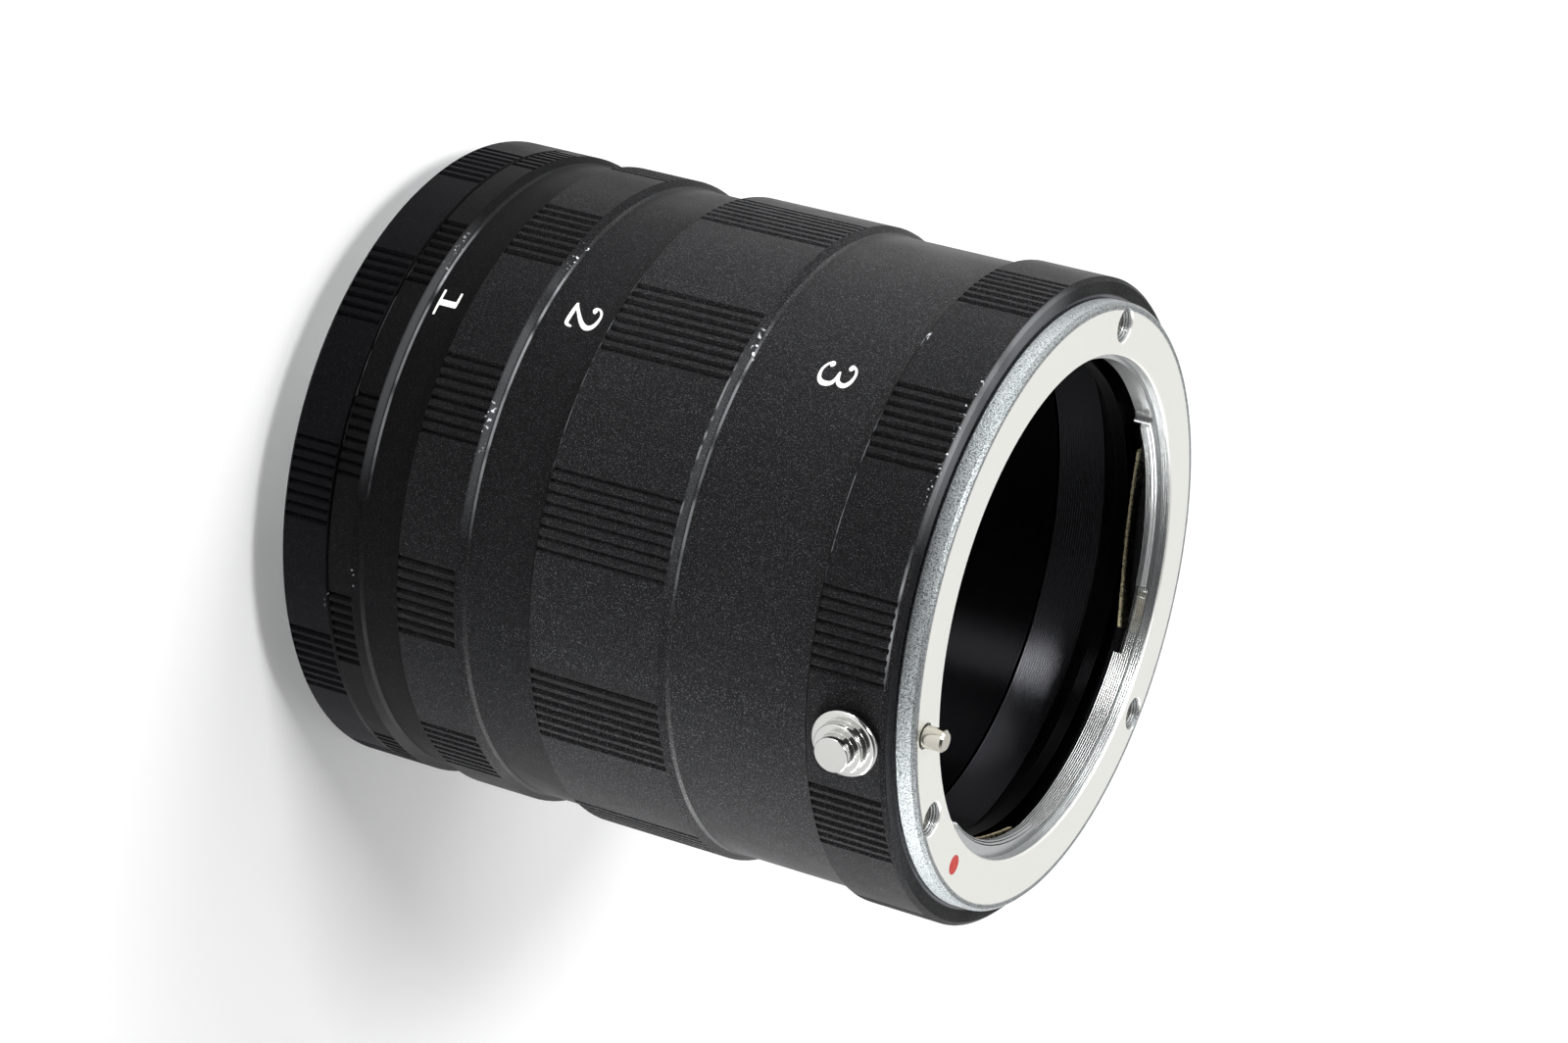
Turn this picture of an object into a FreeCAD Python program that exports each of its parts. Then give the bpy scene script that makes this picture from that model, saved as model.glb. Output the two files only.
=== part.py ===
import FreeCAD, Part
import math
import os
import re
import Sketcher

# Macro extension tube set for a single-lens reflex camera with a three-claw bayonet.
# It stands on its camera-side bayonet with the optical axis along +Z and the lens flange up.
# Lengths are millimetres and angles are degrees, counter-clockwise seen from the lens side.

SIZES = {
    # turned black pieces: outside
    "plainRadius": 29.4,
    "bandStep": 0.7,
    "bandEdge": 0.2,
    "jointChamfer": 0.2,
    "footRise": 0.15,
    "footLength": 0.35,
    "rearRingLength": 5.1,
    "rearRingChamfer": 0.35,
    "tubeOneLength": 7.4,
    "tubeOneBand": 2.6,
    "tubeTwoLength": 14.0,
    "tubeTwoBand": 6.25,
    "tubeThreeLength": 28.0,
    "tubeThreeBand": 13.3,
    "frontRingLength": 7.7,
    "frontRingChamfer": 0.4,
    # screwed joints between them: a socket above and a spigot below, turned to the root of its thread
    "socketWall": 1.85,
    "socketRelief": 0.2,
    "threadClearance": 0.05,
    "threadDepth": 0.3,
    "spigotWall": 2.7,
    "spigotLength": 2.6,
    # grip grooves, in evenly spaced patches round each band
    "grooveDepth": 0.33,
    "grooveWidth": 0.66,
    "groovePitch": 1.95,
    "groovesPerPatch": 8,
    "patchCount": 10,
    "rearRingPatch": -109.0,
    "tubeOnePatch": -118.5,
    "tubeTwoPatch": -93.0,
    "tubeThreePatch": -114.8,
    "frontRingPatch": -108.0,
    # lens-side bayonet
    "flangeInset": 1.2,
    "flangeThickness": 1.9,
    "flangeChamfer": 0.3,
    "flangeUndercut": 0.2,
    "flangeLedge": 0.3,
    "flangeSpigotLength": 0.8,
    "flangeClearance": 0.05,
    "entryWall": 1.9,
    "ledgeWidth": 0.5,
    "ledgeChamfer": 0.15,
    "clawReach": 1.0,
    "clawDrop": 0.95,
    "clawChamfer": 0.42,
    "clawThickness": 0.9,
    "clawSpan": 46.0,
    "clawOneAngle": 92.5,
    "clawTwoAngle": -27.5,
    "clawThreeAngle": -147.5,
    "pocketWall": 0.5,
    "pocketExtra": 17.0,
    "millRadius": 0.9,
    "millTurn": 2.2,
    "millOverrun": 0.05,
    # leaf springs on the shoulder behind the claws
    "shoulderInset": 0.3,
    "shoulderDrop": 2.0,
    "shoulderThickness": 1.2,
    "leafMargin": 0.2,
    "leafThickness": 0.25,
    "leafBow": 40.0,
    "leafSpan": 47.0,
    "leafOneAngle": 82.0,
    "leafTwoAngle": -31.0,
    "leafThreeAngle": -151.0,
    "leafLift": 0.02,
    # camera-side bayonet
    "plateInset": 1.2,
    "plateThickness": 1.6,
    "plateProud": 0.8,
    "plateClearance": 0.05,
    "neckClearance": 0.1,
    "neckWall": 1.5,
    "neckLength": 3.0,
    "lugClearance": 0.15,
    "lugThickness": 1.5,
    "lugSpan": 48.0,
    "lugRoot": 0.5,
    "lockSlotRadius": 1.15,
    # screws
    "fixingInset": 2.1,
    "screwHead": 1.1,
    "screwHeadHeight": 0.7,
    "screwShank": 0.65,
    "screwSlotWidth": 0.3,
    "screwSlotDepth": 0.4,
    "screwClearance": 0.05,
    "headClearance": 0.1,
    "headSink": 0.8,
    "countersinkFlare": 0.45,
    "frontScrewLength": 3.6,
    "frontScrewOne": 41.6,
    "frontScrewTwo": 154.8,
    "frontScrewThree": -69.3,
    "rearSink": 0.1,
    "rearScrewLength": 2.0,
    "rearScrewOne": -30.0,
    "rearScrewTwo": 90.0,
    "rearScrewThree": 210.0,
    # lock pin, its knob and its spring
    "pinAngle": -90.0,
    "pinRadius": 1.0,
    "pinClearance": 0.05,
    "pinReach": 2.0,
    "pinTail": 0.9,
    "pinChamfer": 0.2,
    "pinTravel": 2.0,
    "flangePinHole": 1.2,
    "knobHeight": 4.2,
    "knobBaseRadius": 3.05,
    "knobBaseThickness": 1.0,
    "knobStepRadius": 2.3,
    "knobStepHeight": 0.9,
    "knobCapRadius": 1.65,
    "knobCapHeight": 1.0,
    "knobChamfer": 0.3,
    "knobLift": 0.05,
    "stemRadius": 0.8,
    "stemClearance": 0.1,
    "stemTipRadius": 0.55,
    "stemTipReach": 0.6,
    "stemTipClearance": 0.02,
    "springLength": 3.2,
    "springRadius": 0.65,
    "springWire": 0.14,
    "springTurns": 5,
    # painted index mark
    "dotAngle": -50.7,
    "dotInset": 2.5,
    "dotRadius": 0.9,
    "dotDepth": 0.3,
    "dotClearance": 0.02,
}
FUNCTIONS = {"sin", "cos"}

doc = FreeCAD.newDocument("extension_tube_set")
sheet = doc.addObject("Spreadsheet::Sheet", "dim")
for row, (alias, value) in enumerate(SIZES.items(), start=1):
    sheet.set(f"A{row}", alias)
    sheet.set(f"B{row}", str(value))
    sheet.setAlias(f"B{row}", alias)
doc.recompute()

# Heights up the optical axis, as sums of the sheet's sizes.
rearRingBase = "plateProud + neckLength"
tubeOneBase = rearRingBase + " + rearRingLength"
tubeTwoBase = tubeOneBase + " + tubeOneLength"
tubeThreeBase = tubeTwoBase + " + tubeTwoLength"
frontRingBase = tubeThreeBase + " + tubeThreeLength"
flangeBase = frontRingBase + " + frontRingLength"
flangeFace = flangeBase + " + flangeThickness"
shoulderTop = flangeBase + " - shoulderDrop"
clawTop = flangeFace + " - clawDrop"
clawUnder = clawTop + " - clawThickness"
knobAxis = frontRingBase + " + knobHeight"
pinEnd = knobAxis + " - pinTail"
springFloor = pinEnd + " - springLength"
socketDepth = "(spigotLength + socketRelief)"

# Radii, from the plain outside of the tubes inwards through the walls to the bayonets.
bandRadius = "(plainRadius + bandStep)"
socketRadius = "(plainRadius - socketWall)"
spigotRadius = f"({socketRadius} - threadClearance - threadDepth)"
boreRadius = f"({spigotRadius} - spigotWall)"
flangeRadius = "(plainRadius - flangeInset)"
fixingCircle = f"({flangeRadius} - fixingInset)"
dotCircle = f"({flangeRadius} - dotInset)"
flangeSpigotRadius = f"({boreRadius} + flangeLedge)"
flangeSeatRadius = f"({flangeSpigotRadius} + flangeClearance)"
entryRadius = f"({flangeSpigotRadius} - entryWall)"
ledgeRadius = f"({entryRadius} + ledgeWidth)"
clawRadius = f"({entryRadius} - clawReach)"
pocketRadius = f"({flangeSpigotRadius} - pocketWall)"
shoulderRadius = f"({clawRadius} + shoulderInset)"
leafInner = f"({shoulderRadius} + leafMargin)"
leafOuter = f"({pocketRadius} - leafMargin)"
plateRadius = "(plainRadius - plateInset)"
plateSeatRadius = f"({plateRadius} + plateClearance)"
lugRadius = f"({entryRadius} - lugClearance)"
neckRadius = f"({clawRadius} - neckClearance)"
neckBore = f"({neckRadius} - neckWall)"


def cells(text):
    """Writes each size's name in an expression as a cell of the sheet."""
    def cell(word):
        return word.group() if word.group() in FUNCTIONS else "dim." + word.group()
    return re.sub(r"[A-Za-z]\w*", cell, text)


def bind(item, **expressions):
    """Ties properties of an object to expressions of the sheet's sizes."""
    for name, text in expressions.items():
        item.setExpression(name.replace("_", "."), cells(text))
    return item


def new_body(label):
    body = doc.addObject("PartDesign::Body", label)
    body.Label = label
    return body


def tie_corner(sketch, line, kind, first, text):
    """Ties one coordinate of a line's first end to an expression of the sheet's sizes."""
    if text == "0":
        axis = -1 if kind == "DistanceY" else -2
        sketch.addConstraint(Sketcher.Constraint("PointOnObject", line, 1, axis))
        return
    number = sketch.addConstraint(Sketcher.Constraint(kind, -1, 1, line, 1, first))
    sketch.setExpression(f"Constraints[{number}]", cells(text))


def outline(body, role, name, points):
    """A closed polygon sketch on one of the body's planes, every corner tied to the sheet."""
    sketch = body.newObject("Sketcher::SketchObject", f"{body.Name}_{name}")
    plane = next(item for item in body.Origin.OriginFeatures if item.Role == role)
    sketch.AttachmentSupport = [(plane, "")]
    sketch.MapMode = "FlatFace"
    count = len(points)
    start = []
    for index in range(count):
        angle = 2 * math.pi * index / count
        start.append(FreeCAD.Vector(2 + math.cos(angle), 2 + math.sin(angle), 0))
    lines = []
    for index in range(count):
        segment = Part.LineSegment(start[index], start[(index + 1) % count])
        lines.append(sketch.addGeometry(segment, False))
    for index in range(count):
        following = lines[(index + 1) % count]
        sketch.addConstraint(Sketcher.Constraint("Coincident", lines[index], 2, following, 1))
    for line, corner, (across, along) in zip(lines, start, points):
        tie_corner(sketch, line, "DistanceX", corner.x, across)
        tie_corner(sketch, line, "DistanceY", corner.y, along)
    return sketch


def turned(label, points):
    """A body turned round its own Z axis from corners of radius and height."""
    body = new_body(label)
    sketch = outline(body, "XZ_Plane", "profile", points)
    turning = body.newObject("PartDesign::Revolution", f"{label}_turning")
    turning.Profile = sketch
    turning.ReferenceAxis = (sketch, ["V_Axis"])
    turning.Angle = 360
    doc.recompute()
    return body


def grip_patches(body, patch, start, end):
    """Cuts the axial grip grooves: one V, repeated across a patch, and the patch round the band."""
    bottom = f"{bandRadius} - grooveDepth"
    beyond = f"{bandRadius} + grooveDepth"
    sketch = outline(body, "XY_Plane", "groove", [
        (bottom, "0"),
        (beyond, "-grooveWidth"),
        (beyond, "grooveWidth"),
    ])
    first = f"{patch} - groovePitch * (groovesPerPatch - 1) / 2"
    bind(sketch, AttachmentOffset_Rotation_Angle=first, AttachmentOffset_Base_z=end)
    before = body.Tip
    groove = body.newObject("PartDesign::Pocket", f"{body.Name}_cut")
    groove.Profile = sketch
    bind(groove, Length=f"{end} - ({start})")
    doc.recompute()
    pattern = body.newObject("PartDesign::MultiTransform", f"{body.Name}_grip")
    pattern.Originals = [groove]
    across = body.newObject("PartDesign::PolarPattern", f"{body.Name}_patch")
    across.Axis = (sketch, ["N_Axis"])
    bind(across, Angle="groovePitch * (groovesPerPatch - 1)", Occurrences="groovesPerPatch")
    around = body.newObject("PartDesign::PolarPattern", f"{body.Name}_patches")
    around.Axis = (sketch, ["N_Axis"])
    around.Angle = 360
    bind(around, Occurrences="patchCount")
    pattern.Transformations = [across, around]
    body.Tip = pattern
    doc.recompute()
    if not pattern.Shape.Volume < before.Shape.Volume:
        raise RuntimeError(f"{body.Label}: the grip grooves cut nothing")


def cylinder(name, radius, height, base=None, span=None, turn=None):
    """An upright cylinder on the axis, or the sector of one that starts at an angle."""
    solid = doc.addObject("Part::Cylinder", name)
    bind(solid, Radius=radius, Height=height)
    if base is not None:
        bind(solid, Placement_Base_z=base)
    if span is not None:
        bind(solid, Angle=span, Placement_Rotation_Angle=turn)
    return solid


def upright(name, radius, height, base, circle, angle):
    """An upright cylinder off the axis, at an angle on a circle."""
    solid = cylinder(name, radius, height, base)
    bind(solid, Placement_Base_x=f"{circle} * cos({angle})", Placement_Base_y=f"{circle} * sin({angle})")
    return solid


def fused(name, shapes):
    joined = doc.addObject("Part::MultiFuse", name)
    joined.Shapes = shapes
    joined.Refine = True
    return joined


def cut(name, base, tool):
    result = doc.addObject("Part::Cut", name)
    result.Base = base
    result.Tool = tool
    result.Refine = True
    return result


def tube(label, base, length, band, patch):
    """One tube: grip band, bevel with a flat foot, plain stretch, spigot below and socket above."""
    top = f"{base} + {length}"
    body = turned(label, [
        (boreRadius, f"{base} - spigotLength"),
        (spigotRadius, f"{base} - spigotLength"),
        (spigotRadius, base),
        (f"{bandRadius} - jointChamfer", base),
        (bandRadius, f"{base} + jointChamfer"),
        (bandRadius, f"{base} + {band}"),
        ("plainRadius + footRise", f"{base} + {band} + bandStep - footRise"),
        ("plainRadius", f"{base} + {band} + bandStep - footRise + footLength"),
        ("plainRadius", top),
        (socketRadius, top),
        (socketRadius, f"{top} - {socketDepth}"),
        (boreRadius, f"{top} - {socketDepth}"),
    ])
    grip_patches(body, patch, f"{base} + jointChamfer", f"{base} + {band}")
    return body


def rear_ring():
    """The camera-side ring: a socket for a tube above and a recess for the bayonet plate below."""
    recess = f"{rearRingBase} + plateThickness - plateProud"
    body = turned("rear_ring_turned", [
        (boreRadius, recess),
        (plateSeatRadius, recess),
        (plateSeatRadius, rearRingBase),
        (f"{bandRadius} - rearRingChamfer", rearRingBase),
        (bandRadius, f"{rearRingBase} + rearRingChamfer"),
        (bandRadius, f"{tubeOneBase} - bandEdge"),
        (f"{bandRadius} - bandEdge", tubeOneBase),
        (socketRadius, tubeOneBase),
        (socketRadius, f"{tubeOneBase} - {socketDepth}"),
        (boreRadius, f"{tubeOneBase} - {socketDepth}"),
    ])
    grip_patches(body, "rearRingPatch", f"{rearRingBase} + rearRingChamfer", f"{tubeOneBase} - bandEdge")
    holes = []
    for name in ("rearScrewOne", "rearScrewTwo", "rearScrewThree"):
        holes.append(upright(f"ring_{name}", "screwShank + screwClearance", "rearRingLength", rearRingBase,
                             fixingCircle, name))
    ring = cut("rear_ring_drilled", body, fused("rear_ring_holes", holes))
    ring.Label = "rear_ring"
    return ring


def rear_bayonet():
    """The camera-side bayonet: a plate with a short neck and three lugs, and the slot for a lock pin."""
    top = f"{rearRingBase} + plateThickness - plateProud"
    plate = turned("rear_bayonet_plate", [
        (neckBore, "0"),
        (neckRadius, "0"),
        (neckRadius, "neckLength"),
        (plateRadius, "neckLength"),
        (plateRadius, top),
        (neckBore, top),
    ])
    lugs = []
    for name in ("clawOneAngle", "clawTwoAngle", "clawThreeAngle"):
        lugs.append(cylinder(f"lug_{name}", lugRadius, "lugThickness",
                             span="lugSpan", turn=f"{name} - lugSpan / 2"))
    core = cylinder("rear_bayonet_core", f"{neckRadius} - lugRoot", "lugThickness")
    with_lugs = fused("rear_bayonet_lugged", [plate, cut("rear_lugs", fused("rear_lug_blanks", lugs), core)])
    holes = [upright("lock_slot", "lockSlotRadius", "plateThickness", "neckLength", fixingCircle, "pinAngle")]
    for name in ("rearScrewOne", "rearScrewTwo", "rearScrewThree"):
        holes.append(upright(f"plate_{name}", "screwShank + screwClearance", "plateThickness", "neckLength",
                             fixingCircle, name))
        holes.append(upright(f"plate_head_{name}", "screwHead + headClearance", "screwHeadHeight + rearSink",
                             "neckLength", fixingCircle, name))
    bayonet = cut("rear_bayonet_drilled", with_lugs, fused("rear_bayonet_holes", holes))
    bayonet.Label = "rear_bayonet"
    return bayonet


def screw(name, under_head, length, angle, turn):
    """One cross-slotted screw; turn is 0 with the head up and 180 with the head down."""
    head = cylinder(f"{name}_head", "screwHead", "screwHeadHeight")
    shank = cylinder(f"{name}_shank", "screwShank", length, f"-({length})")
    slots = []
    for long_side, short_side in (("screwHead", "screwSlotWidth"), ("screwSlotWidth", "screwHead")):
        slot = doc.addObject("Part::Box", f"{name}_slot")
        bind(slot, Length=long_side, Width=short_side, Height="screwSlotDepth",
             Placement_Base_x=f"-{long_side} / 2", Placement_Base_y=f"-{short_side} / 2",
             Placement_Base_z="screwHeadHeight - screwSlotDepth")
        slots.append(slot)
    piece = cut(name, fused(f"{name}_blank", [head, shank]), fused(f"{name}_cross", slots))
    piece.Placement = FreeCAD.Placement(FreeCAD.Vector(), FreeCAD.Rotation(FreeCAD.Vector(1, 0, 0), turn))
    bind(piece, Placement_Base_x=f"{fixingCircle} * cos({angle})",
         Placement_Base_y=f"{fixingCircle} * sin({angle})", Placement_Base_z=under_head)
    return piece


def screw_group(label, under_head, length, angles, turn):
    group = doc.addObject("Part::Compound", f"{label}_group")
    group.Links = [screw(f"{label}_{angle}", under_head, length, angle, turn) for angle in angles]
    group.Label = label
    return group


def front_ring():
    """The lens-side ring: flange seat, shoulder for the leaf springs, bore and slot for the lock pin."""
    body = turned("front_ring_turned", [
        (boreRadius, f"{frontRingBase} - spigotLength"),
        (spigotRadius, f"{frontRingBase} - spigotLength"),
        (spigotRadius, frontRingBase),
        (f"{bandRadius} - jointChamfer", frontRingBase),
        (bandRadius, f"{frontRingBase} + jointChamfer"),
        (bandRadius, f"{flangeBase} - frontRingChamfer"),
        (f"{bandRadius} - frontRingChamfer", flangeBase),
        (flangeSeatRadius, flangeBase),
        (flangeSeatRadius, shoulderTop),
        (shoulderRadius, shoulderTop),
        (shoulderRadius, f"{shoulderTop} - shoulderThickness"),
        (boreRadius, f"{shoulderTop} - shoulderThickness - ({boreRadius} - {shoulderRadius})"),
    ])
    grip_patches(body, "frontRingPatch", f"{frontRingBase} + jointChamfer",
                 f"{flangeBase} - frontRingChamfer")
    holes = [upright("pin_bore", "pinRadius + pinClearance", f"{flangeFace} - ({springFloor})", springFloor,
                     fixingCircle, "pinAngle")]
    for name in ("frontScrewOne", "frontScrewTwo", "frontScrewThree"):
        holes.append(upright(f"ring_{name}", "screwShank + screwClearance", "frontScrewLength",
                             f"{flangeFace} - headSink - screwHeadHeight - frontScrewLength",
                             fixingCircle, name))
    slot = doc.addObject("Part::Box", "stem_slot")
    bind(slot, Length="2 * (stemRadius + stemClearance)", Width=bandRadius, Height="pinTravel",
         Placement_Base_x="-(stemRadius + stemClearance)",
         Placement_Base_y=f"-({fixingCircle} + {bandRadius})",
         Placement_Base_z=f"{knobAxis} - pinTravel")
    holes.append(slot)
    for height in (f"{knobAxis} - pinTravel", knobAxis):
        end = doc.addObject("Part::Cylinder", "stem_slot_end")
        end.Placement.Rotation = FreeCAD.Rotation(FreeCAD.Vector(1, 0, 0), 90)
        bind(end, Radius="stemRadius + stemClearance", Height=bandRadius,
             Placement_Base_y=f"-{fixingCircle}", Placement_Base_z=height)
        holes.append(end)
    ring = cut("front_ring_drilled", body, fused("front_ring_holes", holes))
    ring.Label = "front_ring"
    return ring


def claw_gap(name, claw, following):
    """What an end mill takes away between two claws: a sector with a rounded corner at each end."""
    start = f"({claw} + clawSpan / 2)"
    end = f"({following} - clawSpan / 2)"
    reach = f"({entryRadius} - millRadius + millOverrun)"
    depth = f"{flangeFace} - ({shoulderTop})"
    wall = cylinder(f"{name}_wall", entryRadius, depth, shoulderTop,
                    f"{end} - {start} - 2 * millTurn", f"{start} + millTurn")
    mouth = cylinder(f"{name}_mouth", reach, depth, shoulderTop, f"{end} - {start}", start)
    corners = []
    for angle in (f"{start} + millTurn", f"{end} - millTurn"):
        corners.append(upright(f"{name}_corner", "millRadius", depth, shoulderTop, reach, angle))
    return [wall, mouth, *corners]


def countersink(name, angle):
    """The conical mouth of a screw hole in the flange, from the screw's head up to the face."""
    mouth = doc.addObject("Part::Cone", name)
    bind(mouth, Radius1="screwHead + headClearance", Radius2="screwHead + headClearance + countersinkFlare",
         Height="headSink", Placement_Base_x=f"{fixingCircle} * cos({angle})",
         Placement_Base_y=f"{fixingCircle} * sin({angle})", Placement_Base_z=f"{flangeFace} - headSink")
    return mouth


def front_bayonet():
    """The lens-side bayonet: a flange with a sunken ledge, three claws on it and pockets behind them."""
    body = turned("front_bayonet_turned", [
        (clawRadius, f"{flangeBase} - flangeSpigotLength"),
        (flangeSpigotRadius, f"{flangeBase} - flangeSpigotLength"),
        (flangeSpigotRadius, flangeBase),
        (f"{flangeRadius} - flangeUndercut", flangeBase),
        (flangeRadius, f"{flangeBase} + flangeUndercut"),
        (flangeRadius, f"{flangeFace} - flangeChamfer"),
        (f"{flangeRadius} - flangeChamfer", flangeFace),
        (f"{ledgeRadius} + ledgeChamfer", flangeFace),
        (ledgeRadius, f"{flangeFace} - ledgeChamfer"),
        (ledgeRadius, clawTop),
        (f"{clawRadius} + clawChamfer", clawTop),
        (clawRadius, f"{clawTop} - clawChamfer"),
    ])
    cuts = []
    for name in ("clawOneAngle", "clawTwoAngle", "clawThreeAngle"):
        cuts.append(cylinder(f"pocket_{name}", pocketRadius, f"{clawUnder} - ({shoulderTop})", shoulderTop,
                             "clawSpan + pocketExtra", f"{name} - clawSpan / 2 - pocketExtra"))
    cuts.extend(claw_gap("gap_one", "clawOneAngle", "clawThreeAngle + 360"))
    cuts.extend(claw_gap("gap_two", "clawTwoAngle", "clawOneAngle"))
    cuts.extend(claw_gap("gap_three", "clawThreeAngle", "clawTwoAngle"))
    cuts.append(upright("flange_pin_hole", "flangePinHole", "flangeThickness", flangeBase,
                        fixingCircle, "pinAngle"))
    cuts.append(upright("dot_seat", "dotRadius + dotClearance", "dotDepth", f"{flangeFace} - dotDepth",
                        dotCircle, "dotAngle"))
    for name in ("frontScrewOne", "frontScrewTwo", "frontScrewThree"):
        cuts.append(upright(f"flange_{name}", "screwShank + screwClearance", "flangeThickness", flangeBase,
                            fixingCircle, name))
        cuts.append(upright(f"flange_head_{name}", "screwHead + headClearance", "screwHeadHeight",
                            f"{flangeFace} - headSink - screwHeadHeight", fixingCircle, name))
        cuts.append(countersink(f"countersink_{name}", name))
    bayonet = cut("front_bayonet_milled", body, fused("front_bayonet_cuts", cuts))
    bayonet.Label = "front_bayonet"
    return bayonet


def leaf_spring(label, angle):
    """A thin strip that follows the shoulder round the axis, bowed so that its two ends rise."""
    height = f"{shoulderTop} + leafLift + leafBow"
    bows = []
    for name, radius in (("outer", "leafBow"), ("inner", "leafBow - leafThickness")):
        bow = doc.addObject("Part::Cylinder", f"{label}_{name}_bow")
        bow.Placement.Rotation = FreeCAD.Rotation(FreeCAD.Vector(0, 1, 0), 90)
        bind(bow, Radius=radius, Height=leafOuter, Placement_Base_z=height)
        bows.append(bow)
    strip = cut(f"{label}_bow", *bows)
    ring = cut(f"{label}_ring",
               cylinder(f"{label}_outer", leafOuter, "leafBow", shoulderTop, "leafSpan", "-leafSpan / 2"),
               cylinder(f"{label}_inner", leafInner, "leafBow", shoulderTop))
    leaf = doc.addObject("Part::Common", f"{label}_strip")
    leaf.Base = strip
    leaf.Tool = ring
    bind(leaf, Placement_Rotation_Angle=angle)
    leaf.Label = label
    return leaf


def lock_pin():
    """The lock pin: chamfered at its free end, cross-drilled for the tip of the knob's stem."""
    tip = f"{flangeFace} + pinReach"
    body = turned("lock_pin_turned", [
        ("0", pinEnd),
        ("pinRadius", pinEnd),
        ("pinRadius", f"{tip} - pinChamfer"),
        ("pinRadius - pinChamfer", tip),
        ("0", tip),
    ])
    bind(body, Placement_Base_y=f"-{fixingCircle}")
    hole = doc.addObject("Part::Cylinder", "pin_cross_hole")
    hole.Placement.Rotation = FreeCAD.Rotation(FreeCAD.Vector(1, 0, 0), 90)
    bind(hole, Radius="stemTipRadius + stemTipClearance", Height="2 * pinRadius + stemTipReach",
         Placement_Base_y=f"-({fixingCircle} - stemTipReach) + stemTipClearance", Placement_Base_z=knobAxis)
    pin = cut("lock_pin_drilled", body, hole)
    pin.Label = "lock_pin"
    return pin


def release_knob():
    """The sliding release knob: a stepped button on a stem whose tip screws into the lock pin."""
    tip = f"({fixingCircle} - stemTipReach)"
    shoulder = "pinRadius + pinClearance + stemTipReach"
    under = f"{bandRadius} + knobLift - {tip}"
    base_top = f"{under} + knobBaseThickness"
    step_top = f"{base_top} + knobStepHeight"
    cap_top = f"{step_top} + knobCapHeight"
    body = turned("release_knob", [
        ("0", "0"),
        ("stemTipRadius", "0"),
        ("stemTipRadius", shoulder),
        ("stemRadius", shoulder),
        ("stemRadius", under),
        ("knobBaseRadius", under),
        ("knobBaseRadius", f"{base_top} - knobChamfer"),
        ("knobBaseRadius - knobChamfer", base_top),
        ("knobStepRadius", base_top),
        ("knobStepRadius", f"{step_top} - knobChamfer"),
        ("knobStepRadius - knobChamfer", step_top),
        ("knobCapRadius", step_top),
        ("knobCapRadius", f"{cap_top} - knobChamfer"),
        ("knobCapRadius - knobChamfer", cap_top),
        ("0", cap_top),
    ])
    body.Placement.Rotation = FreeCAD.Rotation(FreeCAD.Vector(1, 0, 0), 90)
    bind(body, Placement_Base_y=f"-{tip}", Placement_Base_z=knobAxis)
    return body


def pin_spring():
    """The square-wire coil spring between the lock pin's tail and the floor of its bore."""
    path = doc.addObject("Part::Helix", "pin_spring_path")
    bind(path, Radius="springRadius", Height="springLength - 2 * springWire",
         Pitch="(springLength - 2 * springWire) / springTurns")
    wire = doc.addObject("Part::RegularPolygon", "pin_spring_wire")
    wire.Polygon = 4
    wire.Placement.Rotation = FreeCAD.Rotation(FreeCAD.Vector(1, 0, 0), 90)
    bind(wire, Circumradius="springWire", Placement_Base_x="springRadius")
    coil = doc.addObject("Part::Sweep", "pin_spring_coil")
    coil.Sections = [wire]
    coil.Spine = (path, ["Edge1"])
    coil.Solid = True
    coil.Frenet = True
    bind(coil, Placement_Base_y=f"-{fixingCircle}", Placement_Base_z=f"{springFloor} + springWire")
    coil.Label = "pin_spring"
    return coil


def index_dot():
    """The index mark: a filled dimple in the face of the flange."""
    return upright("index_dot", "dotRadius", "dotDepth", f"{flangeFace} - dotDepth", dotCircle, "dotAngle")


nodes = [
    rear_ring(),
    rear_bayonet(),
    screw_group("rear_bayonet_screws", "neckLength + screwHeadHeight + rearSink", "rearScrewLength",
                ("rearScrewOne", "rearScrewTwo", "rearScrewThree"), 180),
    tube("tube_1", tubeOneBase, "tubeOneLength", "tubeOneBand", "tubeOnePatch"),
    tube("tube_2", tubeTwoBase, "tubeTwoLength", "tubeTwoBand", "tubeTwoPatch"),
    tube("tube_3", tubeThreeBase, "tubeThreeLength", "tubeThreeBand", "tubeThreePatch"),
    front_ring(),
    front_bayonet(),
    screw_group("front_bayonet_screws", f"{flangeFace} - headSink - screwHeadHeight", "frontScrewLength",
                ("frontScrewOne", "frontScrewTwo", "frontScrewThree"), 0),
    leaf_spring("leaf_spring_1", "leafOneAngle"),
    leaf_spring("leaf_spring_2", "leafTwoAngle"),
    leaf_spring("leaf_spring_3", "leafThreeAngle"),
    lock_pin(),
    release_knob(),
    pin_spring(),
    index_dot(),
]
doc.recompute()

for item in doc.Objects:
    if "Invalid" in item.State or "Error" in item.State:
        raise RuntimeError(f"{item.Label}: {item.State}")
for node in nodes:
    if node.Shape.isNull() or not node.Shape.isValid():
        raise RuntimeError(f"{node.Label}: no valid shape")

os.makedirs("parts", exist_ok=True)
for node in nodes:
    node.Shape.exportStep(f"parts/{node.Label}.step")
    box = node.Shape.BoundBox
    print(f"{node.Label}: {len(node.Shape.Solids)} solid(s), {node.Shape.Volume:.1f} mm3,"
          f" z {box.ZMin:.2f} to {box.ZMax:.2f}")
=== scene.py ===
import math

import bpy
from mathutils import Matrix, Vector


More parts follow.
